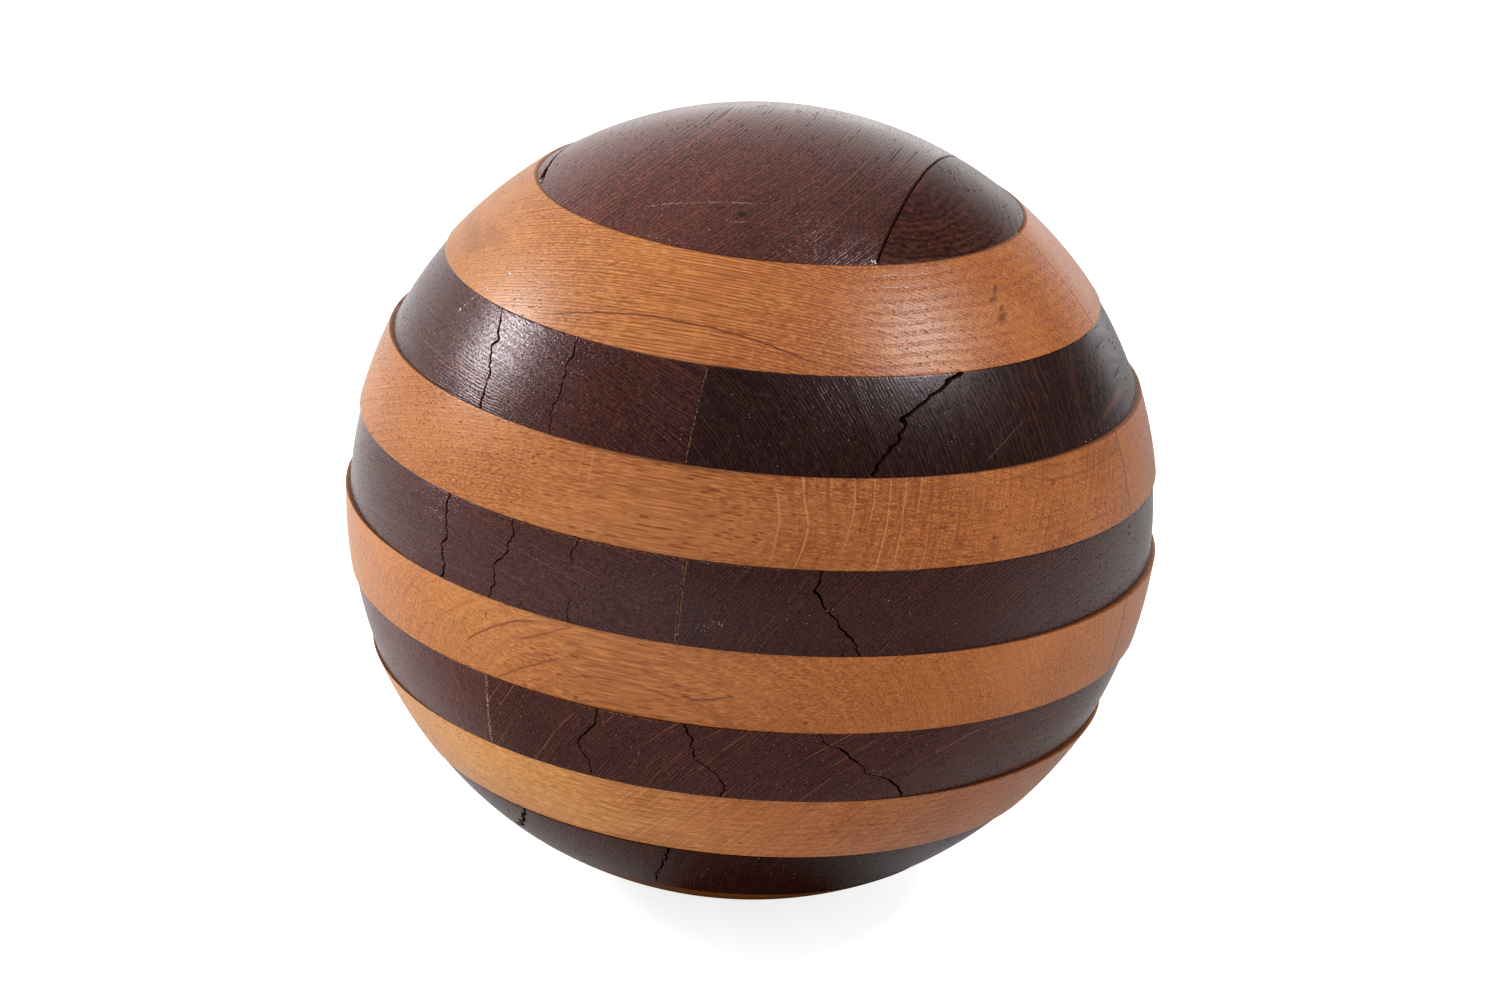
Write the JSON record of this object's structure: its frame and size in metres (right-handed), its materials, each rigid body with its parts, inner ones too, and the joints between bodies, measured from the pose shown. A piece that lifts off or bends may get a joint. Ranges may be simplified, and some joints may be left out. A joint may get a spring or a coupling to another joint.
{
  "type": "laminated wooden ball",
  "caption": "Solid turned ball of glued dark and light boards laid with crossed grain, dried so that its layers step, its cap joints open and checks run into the dark ends.",
  "frame": {"origin": "centre of the ball, midway between its two poles", "axes": "+Z across the layers, up through the middle of the dark cap; +X along the grain of the light layers; +Y along the grain of the dark layers, away from the front ends that show the checks"},
  "size_m": [0.2, 0.2, 0.1966],
  "materials": {
    "dark_wood": "satin varnish, open pores",
    "light_wood": "satin varnish"
  },
  "bodies": {
    "root": {"cap_board_left": "dark_wood", "cap_board_middle": "dark_wood", "cap_board_right": "dark_wood", "layer3_board_left": "dark_wood", "layer3_board_right": "dark_wood", "layer5_board_left": "dark_wood", "layer5_board_right": "dark_wood", "layer7_board_left": "dark_wood", "layer7_board_right": "dark_wood", "layer9_board_left": "dark_wood", "layer9_board_right": "dark_wood", "layer2_board_front": "light_wood", "layer2_board_back": "light_wood", "layer4_board_front": "light_wood", "layer4_board_back": "light_wood", "layer6_board_front": "light_wood", "layer6_board_back": "light_wood", "layer8_board_front": "light_wood", "layer8_board_back": "light_wood", "base_board": "light_wood"}
  },
  "joints": []
}
